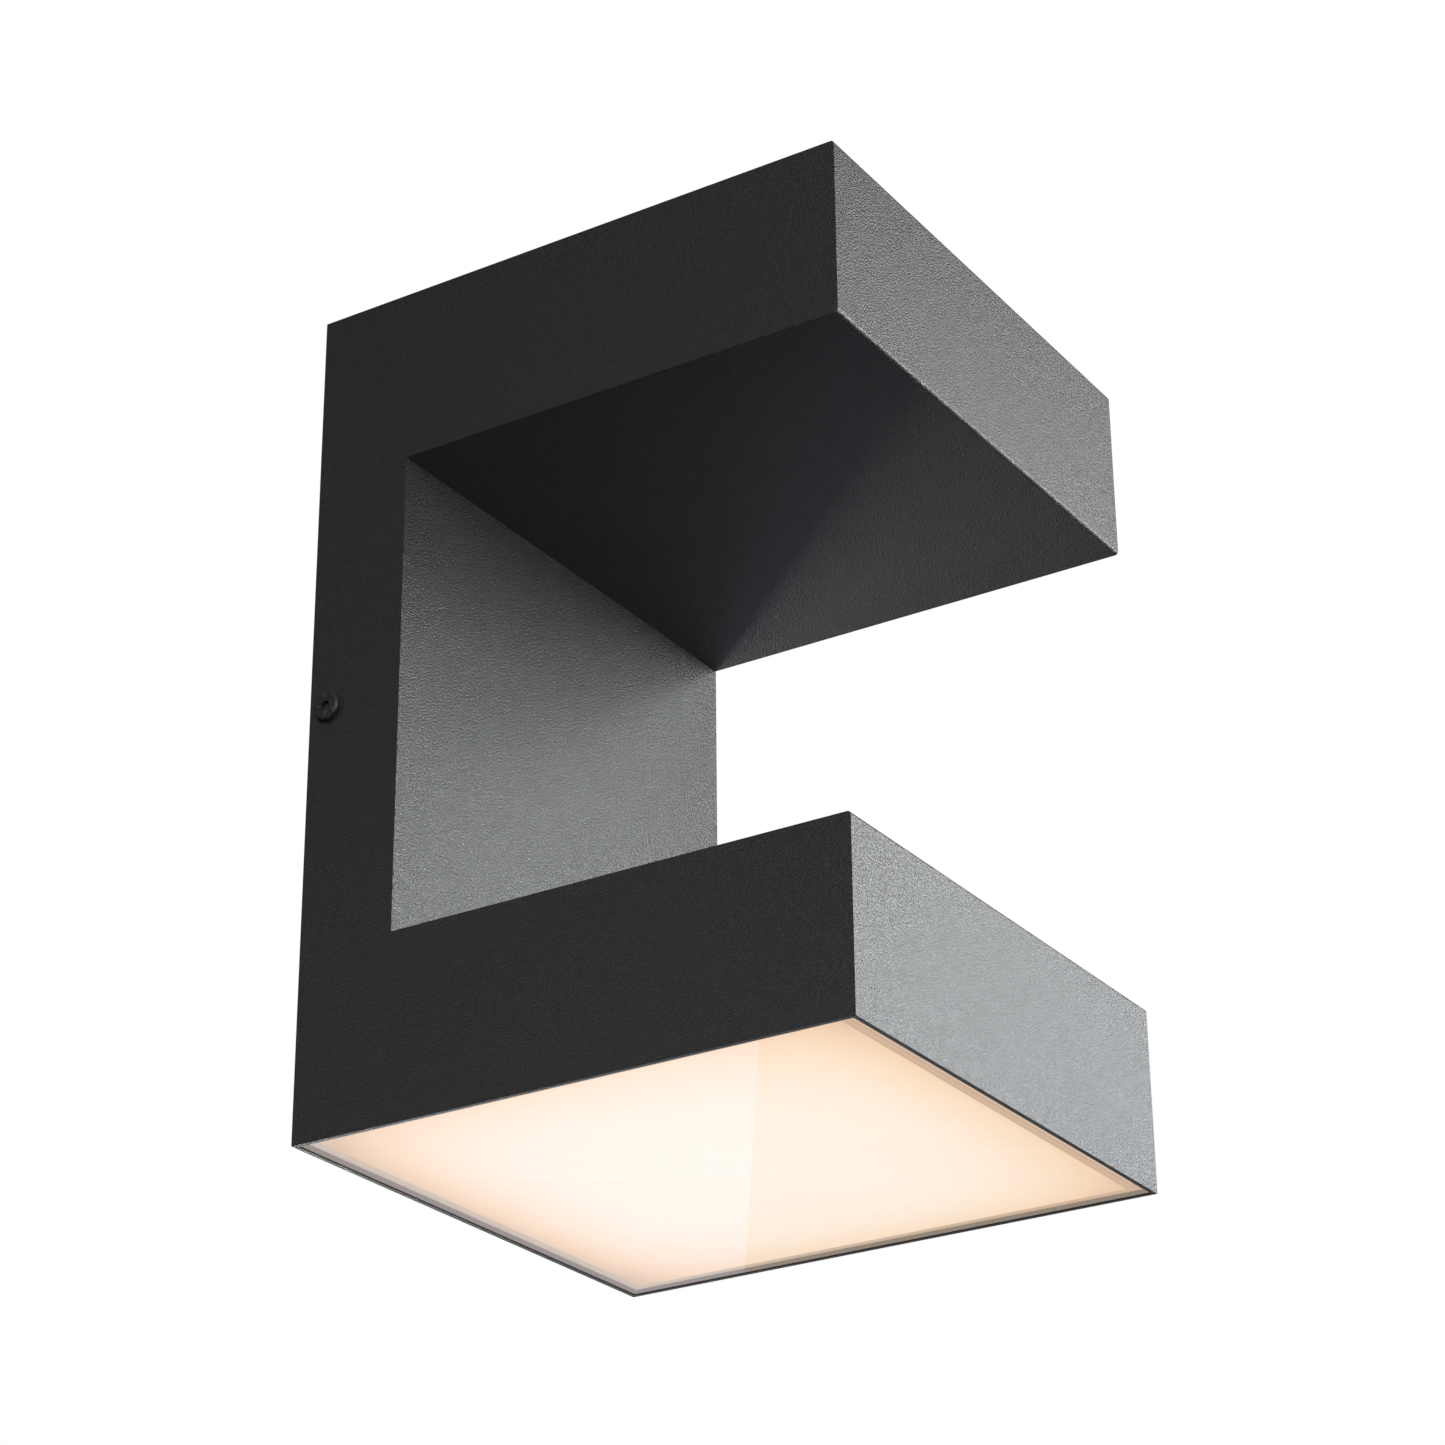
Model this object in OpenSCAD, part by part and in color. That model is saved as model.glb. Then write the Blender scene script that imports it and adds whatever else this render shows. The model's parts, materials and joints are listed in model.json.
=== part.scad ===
// Outdoor wall lantern: a folded sheet housing in the shape of a C, lit from the lower arm.
// Origin: on the wall plane, at mid-height and mid-width of the wall bracket.
// +Z is up, -Y points away from the wall, and +X is to the right for a person who faces the wall.

/* [Housing] */
// Overall height
height = 280; // [260:1:320]
// Overall width
width = 180; // [170:1:220]
// Reach from the wall to the front faces
depth = 191; // [185:1:230]
// Height of each arm
arm_h = 60; // [56:1:75]
// Depth of the hollow spine that stands against the wall
spine_d = 34; // [32:1:45]
// Thickness of the sheet metal
sheet = 1.5; // [1:0.1:2]
// Outside radius of the folded edges
bend_r = 1.2; // [0.5:0.1:3]

/* [Wall bracket] */
// Height of the bracket's plate
bracket_h = 120; // [110:1:130]
// Thickness of the bracket's steel
bracket_t = 2; // [1.5:0.1:3]
// Gap between the bracket and the housing
bracket_gap = 0.4; // [0.3:0.1:1]
// Thickness of the foam gasket behind the bracket
gasket_t = 1; // [0.5:0.1:2]
// Distance between the wall screw holes, side to side
wall_hole_dx = 140; // [130:1:145]
// Distance between the wall screw holes, up and down
wall_hole_dz = 90; // [84:1:100]
// Diameter of the wall screw holes
wall_hole_d = 5.5; // [4.5:0.1:6.5]
// Distance between the middles of the two junction box slots
slot_dx = 80; // [76:1:84]
// Length of each junction box slot, end to end
slot_len = 16; // [12:1:20]
// Width of each junction box slot
slot_w = 4.5; // [4:0.1:5]
// Diameter of the supply cable that the grommet takes
cable_d = 9; // [7:0.5:11]

/* [Side screws] */
// Distance of the side screws from the wall
screw_from_wall = 7.5; // [7.5:0.1:10]
// Thread diameter of the side screws
screw_d = 5; // [4:1:5]
// Length of the side screws under the head
screw_len = 12; // [10:1:16]
// Diameter of the screw head
head_d = 9.5; // [8:0.1:10]
// Height of the screw head
head_h = 1.9; // [1.6:0.1:2.8]
// Width across the flats of the hexagon socket
socket_af = 3; // [2.5:0.5:4]
// Thickness of the sealing washer
washer_t = 0.3; // [0.2:0.1:1]

/* [Light] */
// Thickness of the clear cover
cover_t = 3; // [2:0.5:4]
// Depth of the cover's face above the rim
cover_recess = 0.3; // [0.2:0.1:2]
// Thickness of the opal diffuser
opal_t = 1.5; // [1:0.5:3]
// Width of the unlit border, from the outside of the housing
border = 6.5; // [5:0.5:10]
// Rows and columns of light-emitting diodes
led_rows = 6; // [4:1:7]

/* [Hidden] */
$fn = 48;

top = height / 2;
mouth_top = top - arm_h;
in_x = width / 2 - sheet;          // inner face of a side plate
in_front = depth - sheet;          // inner face of a front, from the wall
in_spine = spine_d - sheet;        // inner face of the spine's front, from the wall
window_h = bracket_h + 4;          // opening in the back that the bracket fills
slide_fit = 0.05;                  // radial play of a running fit

// fasteners: M3 screws, M4 studs and nuts
m3_r = 1.5;
m3_head_r = 2.75;
m3_head_t = 1.6;
stud_r = 2;
nut_af = 7;
nut_t = 3.2;

// bracket
brk_x = in_x - bracket_gap;        // outer face of a bracket ear
brk_face = gasket_t + bracket_t;   // front face of the bracket, from the wall
ear_h = 44;
ear_d = 17;
ear_cut = 4;
nut_spigot_r = 3.2;
nut_body_r = 4.1;
nut_body_t = 3.5;
grommet_hole_r = cable_d / 2 + 3;
grommet_lip = 1.5;
gasket_w = 6;
gasket_x = 60;
gasket_z = 44;

// earth screw and terminal block
earth_at = [30, 34];
earth_head_r = 3.8;
earth_head_t = 2.4;
earth_r = 2;
earth_len = 7;
lug_t = 0.8;
block_x = -4;
block_z = 36;
block_size = [31, 15, 22];
pole_pitch = 10;
pole_at = [for (i = [-1:1]) block_x + i * pole_pitch];
wire_hole_r = 1.9;
wire_y = 9;
clamp_r = 1.8;
clamp_dz = 5.5;                    // clamp screws above and below the block's middle
fixing_seat = 12;                  // where the block's two fixing screws sit, from the wall

// driver
driver_size = [126, 42, 27];
driver_y = 82;
driver_floor = mouth_top + sheet;
cap_t = 3;
tab_len = 14;
tab_t = 3;
driver_stud_x = driver_size[0] / 2 + cap_t + tab_len / 2;
driver_stud_h = 10.5;
lead_port_z = driver_floor + 13.5;
lead_port_gap = 6;

// light unit, measured down from the lower arm's ceiling
arm_ceiling = -mouth_top - sheet;
tray_top = arm_ceiling - 11;
tray_t = 2;
tray_under = tray_top - tray_t;
tray_edge = 2.5;
board_t = 1.6;
board_x = 68;
board_near = 22;
board_far = depth - 22;
led_size = [3.5, 2.8, 0.7];
led_pitch_x = 2 * (board_x - 9) / (led_rows - 1);
led_pitch_y = (board_far - board_near - 24) / (led_rows - 1);
tray_stud_x = 83;
tray_stud_near = 14;
tray_stud_far = depth - 14;
shoulder_r = 3.5;
wire_gate = [45, 30];              // where the leads pass through tray and board
wire_gate_r = 5;

// lens stack, upwards from the rim
rim = -top;
cover_z = rim + cover_recess;
opal_z = cover_z + cover_t;
flange_z = opal_z + opal_t + 0.2;
flange_t = 1.2;
seal_w = 0.8;
gasket_out = 0.2;
gasket_in = 1.8;
opal_in = 2;
lip_w = 8;
lip_t = 1.5;
peg_r = 1.9;
peg_x = 75;
peg_y = [50, depth - 50];

// side screws
screw_r = screw_d / 2;
washer_r = 5.2;
head_top_r = 3.6;
head_rim = 0.4;                    // straight part of the head, below its dome
tip_chamfer = 0.6;
dome_steps = 6;
socket_depth = 1.4;

// leads
lead_r = 1;
lead_step = 5;
clip_size = [12, 5, 8];
clip_z = [45, 0, -45];
led_lead_x = wire_gate[0];
lead_gap = 3;

// ---------- helpers ----------

// A rectangular block between two depths from the wall
module slab(x0, x1, d0, d1, z0, z1) {
    translate([x0, -d1, z0])
        cube([x1 - x0, d1 - d0, z1 - z0]);
}

// A shape drawn as (distance from the wall, height), given a thickness along X
module across(thickness, x = 0) {
    translate([x, 0, 0])
        rotate([90, 0, -90])
            linear_extrude(height = thickness, center = true)
                children();
}

// A cylinder that points away from the wall, from depth d0 to d1
module peg_y(r, d0, d1) {
    translate([0, -d0, 0])
        rotate([90, 0, 0])
            cylinder(r = r, h = d1 - d0);
}

// A flat ring around the lens, between two insets from the housing's inner faces
module lens_ring(outer, inner, z0, z1) {
    difference() {
        slab(-in_x + outer, in_x - outer, sheet + outer, in_front - outer, z0, z1);
        slab(-in_x + inner, in_x - inner, sheet + inner, in_front - inner, z0 - 1, z1 + 1);
    }
}

// A hexagon nut with a round bore
module nut(af, thickness, bore_r) {
    difference() {
        cylinder(d = af / cos(30), h = thickness, $fn = 6);
        translate([0, 0, -1])
            cylinder(r = bore_r, h = thickness + 2);
    }
}

// The outside corner at p, rounded, turning from heading a to heading b
function fold(p, a, b, r = bend_r, steps = 6) =
    let (centre = p - r * a + r * b)
    [for (i = [0:steps]) centre + r * (a * sin(i * 90 / steps) - b * cos(i * 90 / steps))];

function unit(v) = v / norm(v);

// A smooth curve through the points of a route
function curve_at(p, i, t) =
    let (
        a = p[max(i - 1, 0)],
        b = p[i],
        c = p[i + 1],
        d = p[min(i + 2, len(p) - 1)]
    )
    0.5 * (2 * b + (c - a) * t + (2 * a - 5 * b + 4 * c - d) * t * t
        + (3 * b - a - 3 * c + d) * t * t * t);
function smooth(p, step) = [
    for (i = [0:len(p) - 2])
        let (n = ceil(norm(p[i + 1] - p[i]) / step))
        for (k = [0:n - 1]) curve_at(p, i, k / n),
    p[len(p) - 1]
];

// A round lead swept along a route
module lead(route, r = lead_r, sides = 8) {
    path = smooth(route, lead_step);
    last = len(path) - 1;
    heading = [for (i = [0:last]) unit(path[min(i + 1, last)] - path[max(i - 1, 0)])];
    side = [
        for (i = 0, n = unit(cross(heading[0], [0.3, 1, 0.2])); i <= last;
            i = i + 1, n = i > last ? n : unit(n - heading[i] * (n * heading[i]))) n
    ];
    skin = [
        for (i = [0:last])
            let (up = cross(heading[i], side[i]))
            for (k = [0:sides - 1])
                path[i] + r * (side[i] * cos(k * 360 / sides) + up * sin(k * 360 / sides))
    ];
    walls = [
        for (i = [0:last - 1])
            for (k = [0:sides - 1])
                let (a = i * sides + k, b = i * sides + (k + 1) % sides)
                [a, a + sides, b + sides, b]
    ];
    first_cap = [for (k = [0:sides - 1]) k];
    last_cap = [for (k = [sides - 1:-1:0]) last * sides + k];
    polyhedron(points = skin, faces = concat(walls, [first_cap, last_cap]), convexity = 6);
}

// ---------- housing ----------

out = [1, 0];
up = [0, 1];

// The C shape as seen from the side; the rim of the lower arm and the wall side are cut square
module c_profile() {
    polygon(concat(
        [[0, -top], [0, top]],
        fold([depth, top], out, -up),
        fold([depth, mouth_top], -up, -out),
        [[spine_d, mouth_top], [spine_d, -mouth_top]],
        fold([depth, -mouth_top], out, -up),
        [[depth, -top]]
    ));
}

// The same C as a strip one sheet thick, open at the back and at the bottom of the lower arm
module wrap_profile() {
    polygon(concat(
        [[0, top]],
        fold([depth, top], out, -up),
        fold([depth, mouth_top], -up, -out),
        [[spine_d, mouth_top], [spine_d, -mouth_top]],
        fold([depth, -mouth_top], out, -up),
        [
            [depth, -top],
            [in_front, -top],
            [in_front, -mouth_top - sheet],
            [in_spine, -mouth_top - sheet],
            [in_spine, mouth_top + sheet],
            [in_front, mouth_top + sheet],
            [in_front, top - sheet],
            [0, top - sheet]
        ]
    ));
}

module side_plate(side) {
    color("#3a3a3c")
        difference() {
            across(sheet, side * (width - sheet) / 2) c_profile();
            translate([side * width / 2, -screw_from_wall, 0])
                rotate([0, 90, 0])
                    cylinder(r = screw_r + 0.3, h = 4 * sheet, center = true);
        }
}

module folded_wrap() {
    color("#46484a")
        across(2 * in_x) wrap_profile();
}

module rear_panel(z0, z1) {
    color("#3a3a3c")
        slab(-in_x, in_x, 0, sheet, z0, z1);
}

// ---------- wall bracket ----------

module ear_profile() {
    polygon([
        [gasket_t, -ear_h / 2],
        [ear_d - ear_cut, -ear_h / 2],
        [ear_d, -ear_h / 2 + ear_cut],
        [ear_d, ear_h / 2 - ear_cut],
        [ear_d - ear_cut, ear_h / 2],
        [gasket_t, ear_h / 2]
    ]);
}

module slot_cut(x) {
    run = (slot_len - slot_w) / 2;
    for (s = [-1, 1])
        translate([x + s * run, 0, 0])
            peg_y(slot_w / 2, 0, 2 * brk_face);
    slab(x - run, x + run, 0, 2 * brk_face, -slot_w / 2, slot_w / 2);
}

module wall_bracket() {
    color("#b9bcbe")
        difference() {
            union() {
                slab(-brk_x, brk_x, gasket_t, brk_face, -bracket_h / 2, bracket_h / 2);
                for (s = [-1, 1])
                    across(bracket_t, s * (brk_x - bracket_t / 2)) ear_profile();
            }
            for (sx = [-1, 1], sz = [-1, 1])
                translate([sx * wall_hole_dx / 2, 0, sz * wall_hole_dz / 2])
                    peg_y(wall_hole_d / 2, 0, 2 * brk_face);
            for (s = [-1, 1])
                slot_cut(s * slot_dx / 2);
            peg_y(grommet_hole_r, 0, 2 * brk_face);
            translate([earth_at[0], 0, earth_at[1]])
                peg_y(earth_r, 0, 2 * brk_face);
            for (x = [-1, 1])
                translate([block_x + x * pole_pitch / 2, 0, block_z])
                    peg_y(m3_r, 0, 2 * brk_face);
            for (s = [-1, 1])
                translate([s * brk_x, -screw_from_wall, 0])
                    rotate([0, 90, 0])
                        cylinder(r = nut_spigot_r, h = 3 * bracket_t, center = true);
        }
}

// One round nut pressed into each ear from the inside
module clinch_nuts() {
    color("#c8cacc")
        for (s = [-1, 1])
            translate([s * brk_x, -screw_from_wall, 0])
                rotate([0, -s * 90, 0])
                    difference() {
                        union() {
                            cylinder(r = nut_spigot_r, h = bracket_t);
                            translate([0, 0, bracket_t])
                                cylinder(r = nut_body_r, h = nut_body_t);
                        }
                        translate([0, 0, -1])
                            cylinder(r = screw_r + slide_fit, h = bracket_t + nut_body_t + 2);
                    }
}

module wall_gasket() {
    color("#2b2b2b")
        difference() {
            slab(-gasket_x, gasket_x, 0, gasket_t, -gasket_z, gasket_z);
            slab(-gasket_x + gasket_w, gasket_x - gasket_w, -1, gasket_t + 1,
                -gasket_z + gasket_w, gasket_z - gasket_w);
        }
}

// A rubber ring that lines the cable hole, with a lip on each side of the plate
module cable_grommet() {
    color("#1e1e1e")
        difference() {
            union() {
                peg_y(grommet_hole_r + grommet_lip, 0, gasket_t);
                peg_y(grommet_hole_r, 0, brk_face);
                translate([0, -brk_face, 0])
                    rotate([90, 0, 0])
                        cylinder(r1 = grommet_hole_r + grommet_lip, r2 = cable_d / 2 + 1, h = 3);
            }
            peg_y(cable_d / 2, -1, brk_face + 5);
        }
}

module earth_screw() {
    color("#3f8f4a")
        translate([earth_at[0], 0, earth_at[1]])
            difference() {
                union() {
                    peg_y(earth_r, gasket_t, gasket_t + earth_len);
                    peg_y(earth_head_r, brk_face + lug_t, brk_face + lug_t + earth_head_t);
                }
                slab(-0.5, 0.5, brk_face + lug_t + 1.2, 20, -5, 5);
            }
}

module earth_lug() {
    color("#d0b070")
        translate([earth_at[0], 0, earth_at[1]])
            difference() {
                union() {
                    peg_y(earth_head_r + 0.5, brk_face, brk_face + lug_t);
                    slab(-1.6, 1.6, brk_face, brk_face + lug_t, 0, 9);
                }
                peg_y(earth_r, 0, 20);
            }
}

module terminal_block() {
    color("#e9e7df")
        difference() {
            translate([block_x - block_size[0] / 2, -brk_face - block_size[1],
                block_z - block_size[2] / 2])
                cube(block_size);
            for (x = pole_at) {
                translate([x, -wire_y, block_z])
                    cylinder(r = wire_hole_r, h = 2 * block_size[2], center = true);
                for (z = [-1, 1])
                    translate([x, 0, block_z + z * clamp_dz])
                        peg_y(clamp_r + 0.2, wire_y, 30);
            }
            for (x = [-1, 1])
                translate([block_x + x * pole_pitch / 2, 0, block_z]) {
                    peg_y(m3_r + 0.1, 0, 30);
                    peg_y(m3_head_r + 0.15, fixing_seat, 30);
                }
            for (x = [-1, 1])
                slab(block_x + x * pole_pitch / 2 - 0.5, block_x + x * pole_pitch / 2 + 0.5,
                    14, 30, 0, 50);
        }
}

module terminal_screws() {
    color("#c9a64e")
        for (x = pole_at, z = [-1, 1])
            translate([x, 0, block_z + z * clamp_dz])
                difference() {
                    peg_y(clamp_r, wire_y + 2, 15);
                    slab(-0.35, 0.35, 14.2, 16, -2, 2);
                }
}

module terminal_fixings() {
    color("#c8cacc")
        for (x = [-1, 1])
            translate([block_x + x * pole_pitch / 2, 0, block_z])
                difference() {
                    union() {
                        peg_y(m3_r - 0.02, gasket_t, fixing_seat);
                        peg_y(m3_head_r, fixing_seat, fixing_seat + m3_head_t);
                    }
                    slab(-0.4, 0.4, 13, 16, -2, 2);
                }
}

// ---------- driver in the upper arm ----------

module driver_case() {
    r = 3;
    color("#e6e6e2")
        translate([0, -driver_y, driver_floor + 0.1])
            rotate([90, 0, 90])
                linear_extrude(height = driver_size[0], center = true)
                    union() {
                        translate([-driver_size[1] / 2, 0])
                            square([driver_size[1], driver_size[2] - r]);
                        translate([-driver_size[1] / 2 + r, 0])
                            square([driver_size[1] - 2 * r, driver_size[2]]);
                        for (s = [-1, 1])
                            translate([s * (driver_size[1] / 2 - r), driver_size[2] - r])
                                circle(r = r);
                    }
}

module driver_end_caps() {
    color("#d2d2cd")
        for (s = [-1, 1])
            difference() {
                mirror([s < 0 ? 1 : 0, 0, 0])
                    union() {
                        slab(driver_size[0] / 2, driver_size[0] / 2 + cap_t,
                            driver_y - driver_size[1] / 2, driver_y + driver_size[1] / 2,
                            driver_floor, driver_floor + driver_size[2] - 1);
                        slab(driver_size[0] / 2, driver_stud_x + tab_len / 2,
                            driver_y - 7, driver_y + 7, driver_floor, driver_floor + tab_t);
                    }
                for (k = [-1, 1])
                    translate([s * driver_size[0] / 2, -driver_y + k * lead_port_gap / 2,
                        lead_port_z])
                        rotate([0, 90, 0])
                            cylinder(r = lead_r + 0.3, h = 4 * cap_t, center = true);
                translate([s * driver_stud_x, -driver_y, driver_floor])
                    cylinder(r = stud_r + 0.2, h = 4 * tab_t, center = true);
            }
}

module driver_studs() {
    color("#c8cacc")
        for (s = [-1, 1])
            translate([s * driver_stud_x, -driver_y, driver_floor])
                cylinder(r = stud_r, h = driver_stud_h);
}

module driver_nuts() {
    color("#c8cacc")
        for (s = [-1, 1])
            translate([s * driver_stud_x, -driver_y, driver_floor + tab_t])
                nut(nut_af, nut_t, stud_r);
}

// ---------- light unit in the lower arm ----------

module at_tray_studs() {
    for (s = [-1, 1], d = [tray_stud_near, tray_stud_far])
        translate([s * tray_stud_x, -d, 0])
            children();
}

module tray_studs() {
    color("#c8cacc")
        at_tray_studs() {
            translate([0, 0, tray_top])
                cylinder(r = shoulder_r, h = arm_ceiling - tray_top);
            translate([0, 0, tray_under - nut_t - 2])
                cylinder(r = stud_r, h = tray_t + nut_t + 2);
        }
}

module tray_nuts() {
    color("#c8cacc")
        at_tray_studs()
            translate([0, 0, tray_under - nut_t])
                nut(nut_af, nut_t, stud_r);
}

module at_pegs() {
    for (s = [-1, 1], d = peg_y)
        translate([s * peg_x, -d, 0])
            children();
}

module at_board_screws() {
    middle = (board_near + board_far) / 2;
    for (s = [-1, 1], d = [board_near + 5, middle, board_far - 5])
        translate([s * (board_x - 4), -d, 0])
            children();
}

module led_tray() {
    color("#b4b8bb")
        difference() {
            slab(-in_x + tray_edge, in_x - tray_edge, sheet + tray_edge, in_front - tray_edge,
                tray_under, tray_top);
            at_tray_studs()
                translate([0, 0, tray_top])
                    cylinder(r = stud_r + 0.2, h = 20, center = true);
            at_pegs()
                translate([0, 0, tray_top])
                    cylinder(r = peg_r + 0.2, h = 20, center = true);
            at_board_screws()
                translate([0, 0, tray_top])
                    cylinder(r = m3_r + 0.02, h = 20, center = true);
            translate([wire_gate[0], -wire_gate[1], tray_top])
                cylinder(r = wire_gate_r, h = 20, center = true);
        }
}

module led_board() {
    color("#f4f4f0")
        difference() {
            slab(-board_x, board_x, board_near, board_far, tray_under - board_t, tray_under);
            at_board_screws()
                translate([0, 0, tray_under])
                    cylinder(r = m3_r + 0.1, h = 20, center = true);
            translate([wire_gate[0], -wire_gate[1], tray_under])
                cylinder(r = wire_gate_r, h = 20, center = true);
        }
}

// The diodes stand clear of the gate that the leads come through
module led_packages() {
    half = (led_rows - 1) / 2;
    middle = (board_near + board_far) / 2;
    color("#f2e27a")
        for (i = [0:led_rows - 1], k = [0:led_rows - 1]) {
            x = (i - half) * led_pitch_x;
            d = middle + (k - half) * led_pitch_y;
            if (norm([x, d] - wire_gate) > 14)
                translate([x - led_size[0] / 2, -d - led_size[1] / 2,
                    tray_under - board_t - led_size[2]])
                    cube(led_size);
        }
}

module board_screws() {
    color("#c8cacc")
        at_board_screws() {
            translate([0, 0, tray_under - board_t - 1])
                cylinder(r = m3_r, h = 1 + board_t + tray_t + 1);
            translate([0, 0, tray_under - board_t - m3_head_t])
                cylinder(r = m3_head_r, h = m3_head_t);
        }
}

module board_connector() {
    color("#efefe8")
        difference() {
            slab(wire_gate[0] - 5, wire_gate[0] + 5, wire_gate[1] + 8, wire_gate[1] + 15,
                tray_under - board_t - 5, tray_under - board_t);
            for (s = [-1, 1])
                translate([wire_gate[0] + s * lead_gap / 2, 0, tray_under - board_t - 2.5])
                    peg_y(lead_r + 0.1, 0, wire_gate[1] + 12);
        }
}

module lead_grommet() {
    color("#1e1e1e")
        translate([wire_gate[0], -wire_gate[1], 0])
            difference() {
                union() {
                    translate([0, 0, tray_under - board_t])
                        cylinder(r = wire_gate_r, h = tray_t + board_t);
                    translate([0, 0, tray_top])
                        cylinder(r = wire_gate_r + 1.5, h = 1.5);
                }
                for (s = [-1, 1])
                    translate([s * lead_gap / 2, 0, tray_top])
                        cylinder(r = lead_r + 0.15, h = 30, center = true);
            }
}

// A thin frame of the light box, used as one end of its tapered walls
module box_end(inset, z) {
    slab(-width / 2 + inset, width / 2 - inset, inset, depth - inset, z, z + 0.01);
}

// A white box that carries the light from the board down to the diffuser
module reflector_box() {
    wall = 1.4;
    top_inset = width / 2 - board_x - 2;
    flange_top = flange_z + flange_t;
    color("#fbfbf8") {
        difference() {
            union() {
                slab(-in_x + 0.4, in_x - 0.4, sheet + 0.4, in_front - 0.4, flange_z, flange_top);
                hull() {
                    box_end(top_inset - wall, tray_under - 0.01);
                    box_end(border - wall, flange_z);
                }
                slab(-width / 2 + top_inset - lip_w, width / 2 - top_inset + lip_w,
                    top_inset - lip_w, depth - top_inset + lip_w,
                    tray_under - lip_t, tray_under);
            }
            hull() {
                box_end(top_inset, tray_under);
                box_end(border, flange_z - 0.01);
            }
        }
        at_pegs() {
            translate([0, 0, tray_under])
                cylinder(r = peg_r, h = tray_t);
            translate([0, 0, tray_top])
                cylinder(r = peg_r + 0.6, h = 1.2);
        }
    }
}

module opal_diffuser() {
    color("#fff0d8")
        slab(-in_x + opal_in, in_x - opal_in, sheet + opal_in, in_front - opal_in,
            opal_z, opal_z + opal_t);
}

module edge_gasket() {
    color("#9a948c")
        lens_ring(gasket_out, gasket_in, opal_z, flange_z);
}

module clear_cover() {
    color([0.95, 0.97, 0.98, 0.4])
        slab(-in_x + seal_w, in_x - seal_w, sheet + seal_w, in_front - seal_w,
            cover_z, cover_z + cover_t);
}

module cover_seal() {
    color("#6a6763")
        lens_ring(0, seal_w, cover_z + 0.1, opal_z);
}

// ---------- leads ----------

module lead_clips() {
    color("#f0f0ee")
        for (z = clip_z)
            difference() {
                slab(led_lead_x - clip_size[0] / 2, led_lead_x + clip_size[0] / 2,
                    in_spine - clip_size[1], in_spine, z - clip_size[2] / 2, z + clip_size[2] / 2);
                for (s = [-1, 1])
                    translate([led_lead_x + s * lead_gap / 2, -in_spine + 2.5, z])
                        cylinder(r = lead_r + 0.15, h = 20, center = true);
            }
}

// Supply lead from a pole of the terminal block to the left end of the driver; lane 1 runs outside lane 0
module supply_lead(lane) {
    pole = pole_at[lane];
    z0 = block_z + block_size[2] / 2;
    run_x = -77 - 4 * lane;
    run_y = -24 + 6 * lane;
    port_y = -driver_y + lead_port_gap / 2 - lead_port_gap * lane;
    lead([
        [pole, -wire_y, z0 - 6],
        [pole, -wire_y, z0 + 4],
        [pole - 6, -wire_y - 3, z0 + 18],
        [-45, run_y, mouth_top - 4 + 5 * lane],
        [-68, run_y - 7, mouth_top + 13],
        [run_x, -46, lead_port_z + 2],
        [run_x, port_y + 14, lead_port_z],
        [run_x + 4, port_y + 2, lead_port_z],
        [run_x + 9, port_y, lead_port_z],
        [-driver_size[0] / 2 - 0.5, port_y, lead_port_z]
    ]);
}

module earth_lead() {
    z0 = block_z + block_size[2] / 2;
    pole = pole_at[2];
    color("#4f9f43")
        lead([
            [pole, -wire_y, z0 - 6],
            [pole, -wire_y, z0 + 3],
            [pole + 5, -wire_y - 1, z0 + 10],
            [pole + 15, -wire_y, z0 + 12],
            [earth_at[0] - 1, -7, z0 + 6],
            [earth_at[0], -brk_face - lug_t - lead_r, z0 - 1],
            [earth_at[0], -brk_face - lug_t - lead_r, z0 - 6]
        ]);
}

// Low voltage lead from the right end of the driver down the spine to the board
module led_lead(side) {
    k = -side * lead_gap / 2;
    port_y = -driver_y + side * lead_port_gap / 2;
    clip_y = -in_spine + 2.5;
    x = led_lead_x + k;
    under_board = tray_under - board_t;
    lead(concat(
        [
            [driver_size[0] / 2 + 0.5, port_y, lead_port_z],
            [driver_size[0] / 2 + 9, port_y, lead_port_z],
            [79 + k, port_y + 8, lead_port_z + 1],
            [79 + k, -50, lead_port_z + 1],
            [70 + k, -34, mouth_top + 12 - k],
            [x + 10, clip_y + 1, mouth_top - k],
            [x, clip_y, mouth_top - 18]
        ],
        [for (z = clip_z, end = [6, -6]) [x, clip_y, z + end]],
        [
            [x, clip_y, arm_ceiling],
            [x, -wire_gate[1], tray_top],
            [x, -wire_gate[1], under_board - 0.2],
            [x, -wire_gate[1] - 1.6, under_board - 2],
            [x, -wire_gate[1] - 5, under_board - 2.5],
            [x, -wire_gate[1] - 11, under_board - 2.5]
        ]
    ));
}

// ---------- side screws ----------

module at_side(side) {
    translate([side * width / 2, -screw_from_wall, 0])
        rotate([0, side * 90, 0])
            children();
}

module screw_washer(side) {
    color("#141414")
        at_side(side)
            difference() {
                cylinder(r = washer_r, h = washer_t);
                translate([0, 0, -1])
                    cylinder(r = screw_r + slide_fit, h = 3);
            }
}

// Button head drawn as a turned profile, with a hexagon socket
module side_screw(side) {
    color("#232325")
        at_side(side)
            difference() {
                rotate_extrude()
                    polygon(concat(
                        [
                            [0, washer_t - screw_len],
                            [screw_r - tip_chamfer, washer_t - screw_len],
                            [screw_r, washer_t - screw_len + tip_chamfer],
                            [screw_r, washer_t],
                            [head_d / 2, washer_t]
                        ],
                        [
                            for (i = [0:dome_steps])
                                let (a = i * 90 / dome_steps)
                                [
                                    head_top_r + (head_d / 2 - head_top_r) * cos(a),
                                    washer_t + head_rim + (head_h - head_rim) * sin(a)
                                ]
                        ],
                        [[0, washer_t + head_h]]
                    ));
                translate([0, 0, washer_t + head_h - socket_depth])
                    cylinder(d = socket_af / cos(30), h = 5, $fn = 6);
            }
}

// ---------- nodes ----------

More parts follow.
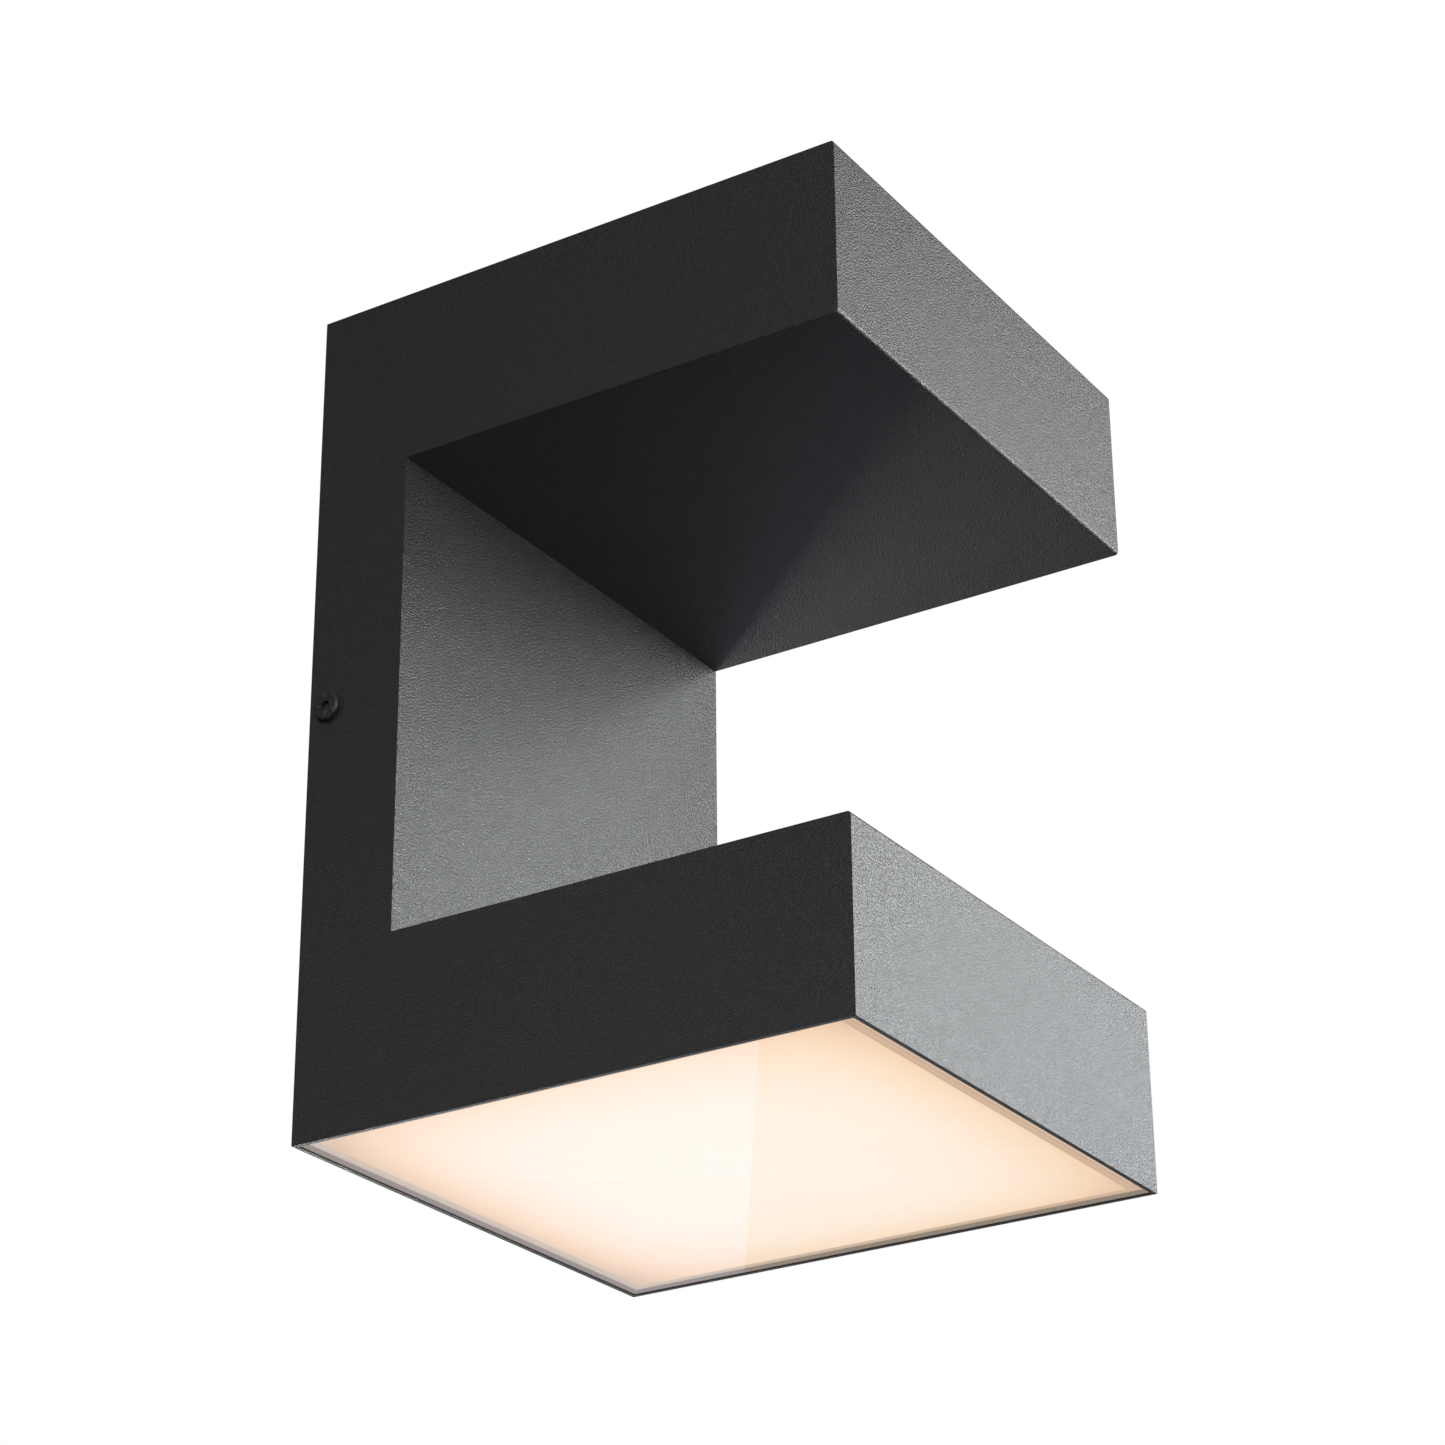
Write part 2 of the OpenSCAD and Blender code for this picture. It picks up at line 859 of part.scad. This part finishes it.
side_plate(-1);  // left_side_plate
side_plate(1);  // right_side_plate
folded_wrap();
rear_panel(window_h / 2, top - sheet);  // upper_rear_panel
rear_panel(-top, -window_h / 2);  // lower_rear_panel
wall_bracket();
clinch_nuts();
wall_gasket();
cable_grommet();
earth_screw();
earth_lug();
terminal_block();
terminal_screws();
terminal_fixings();
driver_case();
driver_end_caps();
driver_studs();
driver_nuts();
tray_studs();
tray_nuts();
led_tray();
led_board();
led_packages();
board_screws();
board_connector();
lead_grommet();
reflector_box();
opal_diffuser();
edge_gasket();
clear_cover();
cover_seal();
lead_clips();
color("#5a3a28") supply_lead(0);  // live_lead
color("#3b6fb5") supply_lead(1);  // neutral_lead
earth_lead();
color("#b03028") led_lead(-1);  // led_lead_plus
color("#202020") led_lead(1);  // led_lead_minus
screw_washer(-1);  // left_screw_washer
side_screw(-1);  // left_side_screw
screw_washer(1);  // right_screw_washer
side_screw(1);  // right_side_screw
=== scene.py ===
"""Outdoor wall lantern: looks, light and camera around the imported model. Lengths are in metres."""

import json
import math
import random

import bmesh
import bpy
from mathutils import Matrix, Vector, noise


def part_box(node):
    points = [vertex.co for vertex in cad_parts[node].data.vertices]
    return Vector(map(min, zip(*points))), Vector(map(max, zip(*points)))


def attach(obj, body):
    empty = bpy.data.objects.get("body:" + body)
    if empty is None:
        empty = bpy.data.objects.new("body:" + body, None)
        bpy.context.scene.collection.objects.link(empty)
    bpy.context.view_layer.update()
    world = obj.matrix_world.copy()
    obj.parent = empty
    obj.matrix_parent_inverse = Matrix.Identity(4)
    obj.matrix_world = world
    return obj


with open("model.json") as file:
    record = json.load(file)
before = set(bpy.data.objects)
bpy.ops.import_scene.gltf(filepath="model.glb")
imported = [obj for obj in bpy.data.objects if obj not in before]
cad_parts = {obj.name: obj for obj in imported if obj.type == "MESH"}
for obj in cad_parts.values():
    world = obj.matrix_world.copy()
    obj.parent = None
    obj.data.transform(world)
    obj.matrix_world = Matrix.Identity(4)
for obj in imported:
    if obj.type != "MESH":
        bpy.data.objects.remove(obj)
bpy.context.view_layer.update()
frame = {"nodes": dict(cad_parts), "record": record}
nodes = frame["nodes"]
MM = 0.001
scene = bpy.context.scene

# ---------- driving values ----------

# camera
CAM_AZIMUTH = 57.82          # degrees round to the left of straight on
CAM_ELEVATION = -25.65       # degrees, from below
CAM_ROLL = 0.53              # degrees
CAM_DISTANCE = 1.172
CAM_LENS = 93.1              # mm
SENSOR_WIDTH = 36            # mm
CAM_AIM = Vector((-0.0037, -0.0955, 0.0064))

# surroundings
FLOOR_Z = -1.5
FLOOR_SIZE = 12
FLOOR_GLOW = 0.6             # keeps the floor pale in every view
BACKDROP = 1.0               # what the camera sees around the object
ROOM_FILL = 0.012            # what the surfaces see around them

# lights
MIDDLE = Vector((0, -0.1, 0))  # what the lights are aimed at
FAR = 2.2                    # distance of most lights
NEAR = 1.1                   # distance of the near lights
SMALL = (0.35, 0.3)          # width and height of the near lights
COOL = (0.93, 0.96, 1.0)
GREENISH = (0.98, 1.0, 0.97)

# housing, as in the frame
SPINE_FRONT = -34 * MM
MOUTH_HALF = 80 * MM         # the mouth runs this far above and below the middle
housing_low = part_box("left_side_plate")[0]
housing_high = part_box("right_side_plate")[1]

# weld at the mouth
WELD_SEED = 7
WELD_HALF = (0.12 * MM, 0.34 * MM)  # least and greatest half width of a lump
WELD_GAP = (2 * MM, 9 * MM)         # least and greatest distance between lumps
WELD_UNEVEN = 0.18                  # how far a lump is out of round, as a share of its size
WELD_UNEVEN_SCALE = 1.7             # how finely it is uneven; more is finer

# powder coat
GRAIN = 0.55 * MM            # size of the paint's texture
GRAIN_DEPTH = 0.14 * MM

# lit diffuser
DIFFUSER_GLOW = 0.86

# the same, at its left, right, front and wall sides: how far in from the housing's outside its border
# ends, how much the light dims there, and how far in the dimming reaches
LIT_SIDES = [
    (4.5 * MM, 0.15, 26 * MM),
    (6.0 * MM, 0.16, 20 * MM),
    (7.0 * MM, 0.20, 19 * MM),
    (6.5 * MM, 0.30, 17 * MM),
]

# colours and roughness of the plain materials, by slot; stretch draws a grain out along one axis
METALS = {
    "zinc_steel": dict(colour=(0.66, 0.67, 0.68), rough=0.34, stretch=(1, 1, 0.08)),
    "green_screw": dict(colour=(0.10, 0.42, 0.14), rough=0.38),
    "brass_parts": dict(colour=(0.78, 0.58, 0.28), rough=0.30),
    "tray_aluminium": dict(colour=(0.80, 0.81, 0.82), rough=0.32, stretch=(1, 0.05, 1)),
}
PLASTICS = {
    "foam": dict(colour=(0.030, 0.030, 0.031), rough=0.85, size=0.9 * MM, depth=0.25 * MM),
    "black_rubber": dict(colour=(0.016, 0.016, 0.017), rough=0.62, size=0.4 * MM, depth=0.03 * MM),
    "terminal_plastic": dict(colour=(0.80, 0.79, 0.73), rough=0.45),
    "driver_plastic": dict(colour=(0.76, 0.76, 0.73), rough=0.5),
    "board_white": dict(colour=(0.86, 0.86, 0.83), rough=0.3, coat=0.3),
    "led_phosphor": dict(colour=(0.85, 0.70, 0.22), rough=0.25, coat=0.5),
    "reflector_white": dict(colour=(0.90, 0.90, 0.88), rough=0.55),
    # the seal's glow is painted light: emission standing in for the lamp's light that comes through it
    "grey_silicone": dict(colour=(0.36, 0.31, 0.27), rough=0.4, glow=0.2),
    "lead_brown": dict(colour=(0.14, 0.06, 0.03), rough=0.4),
    "lead_blue": dict(colour=(0.04, 0.15, 0.45), rough=0.4),
    "lead_green": dict(colour=(0.12, 0.40, 0.07), rough=0.4),
    "lead_red": dict(colour=(0.48, 0.03, 0.02), rough=0.4),
    "lead_black": dict(colour=(0.018, 0.018, 0.018), rough=0.4),
}


# ---------- node helpers ----------

class Nodes:
    """A short way to write a material's node tree."""

    def __init__(self, name):
        self.mat = bpy.data.materials.new(name)
        self.mat.use_nodes = True
        self.tree = self.mat.node_tree
        self.tree.nodes.clear()
        self.out = self.tree.nodes.new("ShaderNodeOutputMaterial")

    def add(self, kind, values=None, **settings):
        """A node of one kind; each of its values is a number, a colour or another node's output."""
        node = self.tree.nodes.new("ShaderNode" + kind)
        for key, value in settings.items():
            setattr(node, key, value)
        for key, value in (values or {}).items():
            if isinstance(value, bpy.types.NodeSocket):
                self.tree.links.new(value, node.inputs[key])
            else:
                node.inputs[key].default_value = value
        return node

    def place(self):
        """The point on the object, in metres."""
        return self.add("TexCoord").outputs["Object"]

    def noise(self, size, detail=2.0, rough=0.5, stretch=None):
        """Noise whose features are about size metres across, from 0 to 1."""
        where = self.place()
        if stretch:
            where = self.add("Mapping", {"Vector": where, "Scale": stretch}).outputs["Vector"]
        values = {"Vector": where, "Scale": 1 / size, "Detail": detail, "Roughness": rough}
        return self.add("TexNoise", values).outputs["Fac"]

    def pebbles(self, size):
        """Rounded grains about size metres across, packed side by side; high in their middles."""
        cells = self.add("TexVoronoi", {"Vector": self.place(), "Scale": 1 / size})
        return self.math("SUBTRACT", 1.0, cells.outputs["Distance"])

    def ramp(self, fac, stops, smooth=True):
        """A ramp through (position, colour or grey) stops."""
        node = self.add("ValToRGB", {"Fac": fac})
        ramp = node.color_ramp
        ramp.interpolation = "EASE" if smooth else "LINEAR"
        while len(ramp.elements) < len(stops):
            ramp.elements.new(0.5)
        for element, (at, value) in zip(ramp.elements, stops):
            element.position = at
            colour = (value,) * 3 if isinstance(value, (int, float)) else value
            element.color = (*colour, 1)
        return node.outputs["Color"]

    def math(self, op, a, b=0.0):
        return self.add("Math", {0: a, 1: b}, operation=op).outputs[0]

    def span(self, fac, low, high):
        """fac, from 0 to 1, stretched to run from low to high."""
        values = {"Value": fac, "To Min": low, "To Max": high}
        return self.add("MapRange", values).outputs["Result"]

    def mix(self, fac, a, b):
        """Colour a where fac is 0, colour b where it is 1."""
        node = self.add("Mix", data_type="RGBA", blend_type="MIX")
        for socket, value in ((node.inputs[0], fac), (node.inputs[6], a), (node.inputs[7], b)):
            if isinstance(value, bpy.types.NodeSocket):
                self.tree.links.new(value, socket)
            else:
                socket.default_value = value if isinstance(value, (int, float)) else (*value, 1)
        return node.outputs[2]

    def bump(self, height, depth, strength=1.0):
        values = {"Height": height, "Distance": depth, "Strength": strength}
        return self.add("Bump", values).outputs["Normal"]

    def principled(self, values):
        """Puts the shader on the material's output and returns the finished material."""
        shader = self.add("BsdfPrincipled", values)
        self.tree.links.new(shader.outputs["BSDF"], self.out.inputs["Surface"])
        return self.mat


# ---------- materials ----------

def powder_coat():
    """Fine-textured matt anthracite powder coat, a little uneven from place to place."""
    n = Nodes("powder_coat")
    grain = n.pebbles(GRAIN)
    cloud = n.noise(60 * MM, detail=3.0)
    tint = n.ramp(grain, [(0.3, (0.017, 0.0173, 0.0178)), (0.7, (0.022, 0.0223, 0.0232))])
    patchy = n.ramp(n.noise(GRAIN * 0.7, detail=1.0), [(0.36, 0.30), (0.64, 0.50)])
    return n.principled({
        "Base Color": n.mix(n.span(cloud, 0.0, 0.25), tint, (0.020, 0.0202, 0.021)),
        "Roughness": n.math("ADD", patchy, n.span(cloud, -0.02, 0.02)),
        "Normal": n.bump(grain, GRAIN_DEPTH),
        "IOR": 1.5,
    })


def metal(name, colour, rough, stretch=(1, 1, 1)):
    """Bare or plated metal with a fine grain, brushed if stretched."""
    n = Nodes(name)
    grain = n.noise(0.4 * MM, detail=4.0, rough=0.6, stretch=stretch)
    cloud = n.noise(18 * MM, detail=2.0)
    dark = tuple(c * 0.78 for c in colour)
    return n.principled({
        "Base Color": n.ramp(n.mix(0.5, grain, cloud), [(0.3, dark), (0.7, colour)]),
        "Metallic": 1.0,
        "Roughness": n.span(grain, rough - 0.08, rough + 0.08),
        "Normal": n.bump(grain, 0.01 * MM, 0.5),
    })


def plastic(name, colour, rough, size=0.3 * MM, depth=0.02 * MM, coat=0.0, glow=0.0):
    """Moulded plastic, rubber or insulation.

    size and depth are its surface texture's, and glow is the lamp's light that it passes on.
    """
    n = Nodes(name)
    grain = n.noise(size, detail=3.0)
    cloud = n.noise(25 * MM, detail=2.0)
    dark = tuple(c * 0.88 for c in colour)
    return n.principled({
        "Base Color": n.ramp(n.mix(0.5, grain, cloud), [(0.35, dark), (0.65, colour)]),
        "Roughness": n.span(grain, rough - 0.06, rough + 0.06),
        "Normal": n.bump(grain, depth, 0.5),
        "Coat Weight": coat,
        "Coat Roughness": 0.15,
        "Emission Color": (1.0, 0.82, 0.66, 1),
        "Emission Strength": glow,
    })


def black_oxide():
    """Blackened steel, a little worn in places."""
    n = Nodes("black_steel")
    grain = n.noise(0.25 * MM, detail=4.0)
    worn = n.ramp(n.noise(1.6 * MM, detail=3.0), [(0.58, 0.0), (0.72, 1.0)])
    return n.principled({
        "Base Color": n.mix(worn, (0.022, 0.022, 0.024), (0.075, 0.073, 0.072)),
        "Metallic": 0.3,
        "Roughness": n.span(grain, 0.42, 0.58),
        "Normal": n.bump(grain, 0.01 * MM, 0.6),
    })


def side_distances(n):
    """Distances in metres from the housing's left, right, front and wall sides, as node values."""
    xyz = n.add("SeparateXYZ", {"Vector": n.place()})
    x, y = xyz.outputs[0], xyz.outputs[1]
    return [
        n.math("SUBTRACT", x, housing_low.x),
        n.math("SUBTRACT", housing_high.x, x),
        n.math("SUBTRACT", y, housing_low.y),
        n.math("SUBTRACT", housing_high.y, y),
    ]


def opal_light():
    """The lit diffuser: near white in the middle, warmer and dimmer towards its sides."""
    n = Nodes("opal_light")
    border_end = 0.8
    sides = side_distances(n)
    level = n.span(n.noise(45 * MM, detail=2.0), 0.84, 0.875)
    insets = []
    for side, (border, dip, reach) in zip(sides, LIT_SIDES):
        past_border = n.math("DIVIDE", n.math("SUBTRACT", border, side), reach)
        level = n.math("SUBTRACT", level, n.math("MULTIPLY", n.math("EXPONENT", past_border), dip))
        insets.append(n.math("DIVIDE", side, border / border_end))
    glow = n.ramp(level, [
        (0.48, (0.67, 0.48, 0.33)),
        (0.63, (0.85, 0.63, 0.445)),
        (0.73, (0.91, 0.73, 0.575)),
        (0.80, (0.94, 0.80, 0.69)),
        (0.86, (0.98, 0.86, 0.77)),
    ], smooth=False)

    # the border lies over the light box's rim, with a thin dark line two thirds of the way across it
    # and another at its end
    inset = insets[0]
    for other in insets[1:]:
        inset = n.math("MINIMUM", inset, other)
    to_wall = n.math("DIVIDE", sides[3], housing_high.y - housing_low.y)
    band = n.ramp(to_wall, [(0.05, (0.55, 0.46, 0.36)), (0.9, (0.60, 0.42, 0.30))])
    lines = n.ramp(inset, [
        (0.48, 0.0), (0.52, 0.3), (0.56, 0.0),
        (0.73, 0.0), (0.77, 0.3), (border_end, 0.0),
    ])
    border = n.mix(lines, band, (0.12, 0.08, 0.06))
    lit = n.ramp(inset, [(0.77, 0.0), (0.85, 1.0)])
    return n.principled({
        "Base Color": (0.35, 0.33, 0.30, 1),
        "Roughness": n.span(n.noise(0.5 * MM), 0.45, 0.6),
        "Normal": n.bump(n.noise(0.5 * MM), 0.01 * MM, 0.4),
        "Emission Color": n.mix(lit, border, glow),
        "Emission Strength": DIFFUSER_GLOW,
    })


def clear_cover():
    """Polished clear sheet."""
    n = Nodes("clear_cover")
    smear = n.noise(35 * MM, detail=3.0)
    return n.principled({
        "Base Color": n.ramp(smear, [(0.3, (0.97, 0.98, 0.98)), (0.7, (0.99, 0.99, 0.99))]),
        "Roughness": n.span(smear, 0.0, 0.03),
        "Transmission Weight": 1.0,
        "IOR": 1.49,
    })


def floor_paint():
    """Pale matt floor."""
    n = Nodes("floor_paint")
    cloud = n.noise(0.4, detail=3.0)
    return n.principled({
        "Base Color": n.ramp(cloud, [(0.3, 0.80), (0.7, 0.84)]),
        "Roughness": 0.7,
        "Emission Color": (1, 1, 1, 1),
        "Emission Strength": FLOOR_GLOW,
    })


def make_materials():
    """Every material of the part, by slot."""
    made = {
        "powder_coat": powder_coat(),
        "black_steel": black_oxide(),
        "opal_light": opal_light(),
        "clear_cover": clear_cover(),
    }
    for slot, look in METALS.items():
        made[slot] = metal(slot, **look)
    for slot, look in PLASTICS.items():
        made[slot] = plastic(slot, **look)
    return made


def paint_parts(materials):
    """Gives each CAD piece the material of its slot."""
    for part in frame["record"]["subparts"]:
        mesh = nodes[part["node"]].data
        mesh.materials.clear()
        mesh.materials.append(materials[part["material_slot"]])


# ---------- weld at the mouth ----------

def lump(mesh, centre, size):
    """One rounded, uneven lump of weld; size holds its half lengths."""
    for vert in bmesh.ops.create_icosphere(mesh, subdivisions=2, radius=1.0)["verts"]:
        uneven = 1 + WELD_UNEVEN * noise.noise(vert.co * WELD_UNEVEN_SCALE + centre / MM)
        vert.co = centre + Vector((size.x * vert.co.x, size.y * vert.co.y, size.z * vert.co.z)) * uneven


def weld_lumps(coat):
    """Small lumps of weld under the paint, where the left side plate meets the spine's front."""
    pick = random.Random(WELD_SEED)
    mesh = bmesh.new()
    z = -MOUTH_HALF
    while z < MOUTH_HALF:
        half = pick.uniform(*WELD_HALF)
        size = Vector((half, half * pick.uniform(0.5, 0.9), half * pick.uniform(1.2, 3.0)))
        lump(mesh, Vector((housing_low.x + 1.3 * half, SPINE_FRONT, z)), size)
        z += pick.uniform(*WELD_GAP)
    data = bpy.data.meshes.new("weld_lumps")
    mesh.to_mesh(data)
    mesh.free()
    data.shade_smooth()
    data.materials.append(coat)
    piece = bpy.data.objects.new("weld_lumps", data)
    scene.collection.objects.link(piece)
    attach(piece, "lantern")


# ---------- surroundings, lights and camera ----------

def surround():
    """A white surround for the camera, and a dimmer one for what the surfaces reflect."""
    world = bpy.data.worlds.new("studio")
    scene.world = world
    world.use_nodes = True
    tree = world.node_tree
    tree.nodes.clear()
    by_ray = tree.nodes.new("ShaderNodeMixShader")
    for socket, strength in ((by_ray.inputs[1], ROOM_FILL), (by_ray.inputs[2], BACKDROP)):
        background = tree.nodes.new("ShaderNodeBackground")
        background.inputs["Color"].default_value = (1, 1, 1, 1)
        background.inputs["Strength"].default_value = strength
        tree.links.new(background.outputs[0], socket)
    path = tree.nodes.new("ShaderNodeLightPath")
    out = tree.nodes.new("ShaderNodeOutputWorld")
    tree.links.new(path.outputs["Is Camera Ray"], by_ray.inputs[0])
    tree.links.new(by_ray.outputs[0], out.inputs["Surface"])


def lay_floor():
    """A pale floor, kept out of the object's diffuse light and reflections."""
    bpy.ops.mesh.primitive_plane_add(size=FLOOR_SIZE, location=(0, 0, FLOOR_Z))
    floor = bpy.context.object
    floor.name = "floor"
    floor.data.materials.append(floor_paint())
    floor.visible_diffuse = False
    floor.visible_glossy = False


def facing(direction):
    """The turn of a light or camera that looks along direction."""
    return direction.to_track_quat("-Z", "Y")


def softbox(name, round_to, up, size, radiance, colour=(1, 1, 1), distance=FAR):
    """A soft rectangular light aimed at the object, given by the brightness of its face.

    round_to is in degrees from straight in front of the object towards its right, and up is in
    degrees above it.
    """
    turn, tilt = math.radians(round_to), math.radians(up)
    towards = Vector((math.sin(turn) * math.cos(tilt), -math.cos(turn) * math.cos(tilt), math.sin(tilt)))
    width, height = size
    light = bpy.data.lights.new(name, "AREA")
    light.shape = "RECTANGLE"
    light.size = width
    light.size_y = height
    light.energy = radiance * math.pi * width * height
    light.color = colour
    holder = bpy.data.objects.new(name, light)
    scene.collection.objects.link(holder)
    holder.location = MIDDLE + distance * towards
    holder.rotation_mode = "QUATERNION"
    holder.rotation_quaternion = facing(-towards)
    holder.visible_camera = False


def lights():
    """Each light by name, direction round and up in degrees, size and brightness."""
    # four small near lights and a wide strip above put the sheen on the front faces
    softbox("near_left", 30, 0, SMALL, 9.5, COOL, NEAR)
    softbox("near_high", 36, 20, SMALL, 16.5, GREENISH, NEAR)
    softbox("near_middle", 45, 10, SMALL, 10.5, COOL, NEAR)
    softbox("near_right", 60, 5, SMALL, 11.0, COOL, NEAR)
    softbox("strip", 54, 30, (1.2, 0.4), 3.5, GREENISH)
    # one from below is caught by the rounded fold under the upper arm's front
    softbox("fold", 62, -30, (0.5, 0.3), 14.0)
    # these light the left side plate, and the last of them the tops of the arms
    softbox("side", -60, 15, (1.4, 1.4), 7.2, (1.0, 0.98, 0.96))
    softbox("left_back", -134, 4, (0.7, 0.6), 1.3)
    softbox("left_low", -110, -12, (0.3, 0.3), 2.5, distance=NEAR)
    softbox("overhead", 0, 85, (1.4, 1.4), 1.0)
    # two low, warm lights behind shine on the undersides
    softbox("low_right", 151, -22, (0.9, 0.8), 13.0, (1.0, 0.97, 0.91))
    softbox("low_wall", 122, -42, (1.2, 0.5), 0.8, (1.0, 0.94, 0.84))
    # a wide dim panel beyond the wall side is mirrored in the cover, with a bluer one over its left half
    softbox("mirrored_wide", 122, -20, (1.9, 1.0), 0.24)
    softbox("mirrored_left", 134.5, -20, (0.92, 1.0), 0.5, (0.42, 0.56, 1.0))


def camera():
    """The camera, low and to the left of the object."""
    data = bpy.data.cameras.new("camera")
    data.lens = CAM_LENS
    data.sensor_width = SENSOR_WIDTH
    data.clip_start = 0.05
    data.clip_end = 50
    cam = bpy.data.objects.new("camera", data)
    scene.collection.objects.link(cam)
    azimuth, elevation = math.radians(CAM_AZIMUTH), math.radians(CAM_ELEVATION)
    forward = Vector((
        math.sin(azimuth) * math.cos(elevation),
        math.cos(azimuth) * math.cos(elevation),
        -math.sin(elevation),
    ))
    roll = Matrix.Rotation(math.radians(CAM_ROLL), 4, forward)
    cam.location = CAM_AIM - forward * CAM_DISTANCE
    cam.rotation_mode = "QUATERNION"
    cam.rotation_quaternion = roll.to_quaternion() @ facing(forward)
    scene.camera = cam


# ---------- the scene ----------

materials = make_materials()
paint_parts(materials)
weld_lumps(materials["powder_coat"])
surround()
lay_floor()
lights()
camera()
scene.view_settings.view_transform = "Standard"
